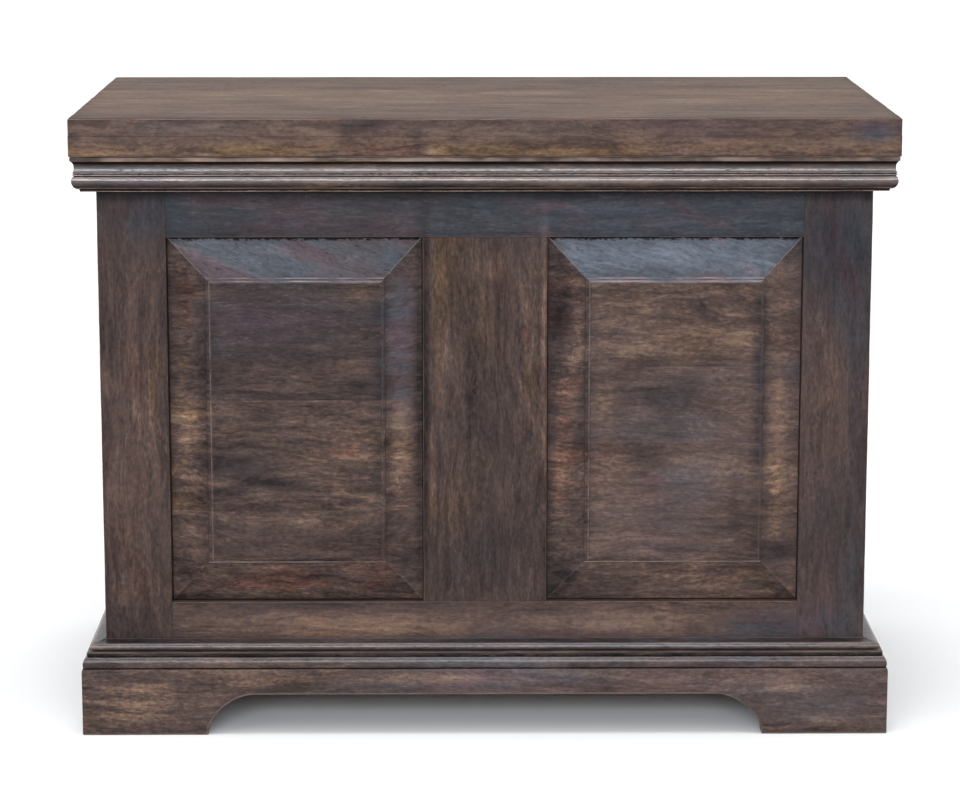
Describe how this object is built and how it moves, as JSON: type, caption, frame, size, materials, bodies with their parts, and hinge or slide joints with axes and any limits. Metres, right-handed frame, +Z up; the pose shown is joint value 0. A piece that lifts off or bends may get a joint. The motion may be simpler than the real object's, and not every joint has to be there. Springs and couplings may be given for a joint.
{
  "type": "wooden chest",
  "caption": "Rectangular lift-lid wooden chest with framed raised panels, a moulded cornice hanging under the hinged lid, a slotted lid stay and a bracket-foot plinth.",
  "frame": {"origin": "on the floor, under the middle of the bounding box", "axes": "+X to the right seen from the front, +Y from front to back, +Z up"},
  "size_m": [0.914, 0.5168, 0.7],
  "materials": {
    "lid_wood": "dark brown stain, satin, rubbed through at the edges",
    "frame_wood": "charcoal stain, satin, brown rubbed patches",
    "panel_wood": "charcoal and red-brown stain, satin",
    "base_wood": "charcoal and brown stain, satin, sheen on the mouldings",
    "inner_wood": "unstained inside timber, matt",
    "hardware": "aged brass, satin"
  },
  "bodies": {
    "carcass": {"back_bottom_rail": "frame_wood", "back_left_panel": "panel_wood", "back_left_stile": "frame_wood", "back_muntin": "frame_wood", "back_right_panel": "panel_wood", "back_right_stile": "frame_wood", "back_top_rail": "frame_wood", "base_cap_front": "base_wood", "base_cap_left": "base_wood", "base_cap_right": "base_wood", "corner_block_front_left": "inner_wood", "corner_block_front_right": "inner_wood", "corner_block_rear_left": "inner_wood", "corner_block_rear_right": "inner_wood", "floor_cleat_front": "inner_wood", "floor_cleat_rear": "inner_wood", "floor_panel": "inner_wood", "front_bottom_rail": "frame_wood", "front_left_panel": "panel_wood", "front_left_stile": "frame_wood", "front_muntin": "frame_wood", "front_right_panel": "panel_wood", "front_right_stile": "frame_wood", "front_top_rail": "frame_wood", "hinge_left_box_leaf": "hardware", "hinge_left_pin": "hardware", "hinge_right_box_leaf": "hardware", "hinge_right_pin": "hardware", "left_side_bottom_rail": "frame_wood", "left_side_front_stile": "frame_wood", "left_side_panel": "panel_wood", "left_side_rear_stile": "frame_wood", "left_side_top_rail": "frame_wood", "plinth_back": "base_wood", "plinth_front": "base_wood", "plinth_left": "base_wood", "plinth_right": "base_wood", "right_side_bottom_rail": "frame_wood", "right_side_front_stile": "frame_wood", "right_side_panel": "panel_wood", "right_side_rear_stile": "frame_wood", "right_side_top_rail": "frame_wood", "stay_stud": "hardware"},
    "lid": {"cornice_front": "lid_wood", "cornice_left": "lid_wood", "cornice_right": "lid_wood", "hinge_left_lid_leaf": "hardware", "hinge_right_lid_leaf": "hardware", "lid_batten_left": "inner_wood", "lid_batten_right": "inner_wood", "lid_board_front": "lid_wood", "lid_board_middle": "lid_wood", "lid_board_rear": "lid_wood", "lid_edging_front": "lid_wood", "lid_edging_left": "lid_wood", "lid_edging_rear": "lid_wood", "lid_edging_right": "lid_wood", "stay_lid_bracket": "hardware"},
    "lid_stay": {"stay_arm": "hardware"}
  },
  "joints": [
    {"name": "lid_hinge", "type": "hinge", "parent": "carcass", "child": "lid", "pos_m": [0, 0.25415, 0.6565], "axis": [-1, 0, 0], "range_deg": [0, 100]},
    {"name": "stay_pivot", "type": "hinge", "parent": "lid", "child": "lid_stay", "pos_m": [0.392, 0.10459, 0.668], "axis": [-1, 0, 0], "range_deg": [-50, 0]}
  ],
  "couplings": [
    {"joint": "stay_pivot", "follows": "lid_hinge", "ratio": -0.5}
  ]
}
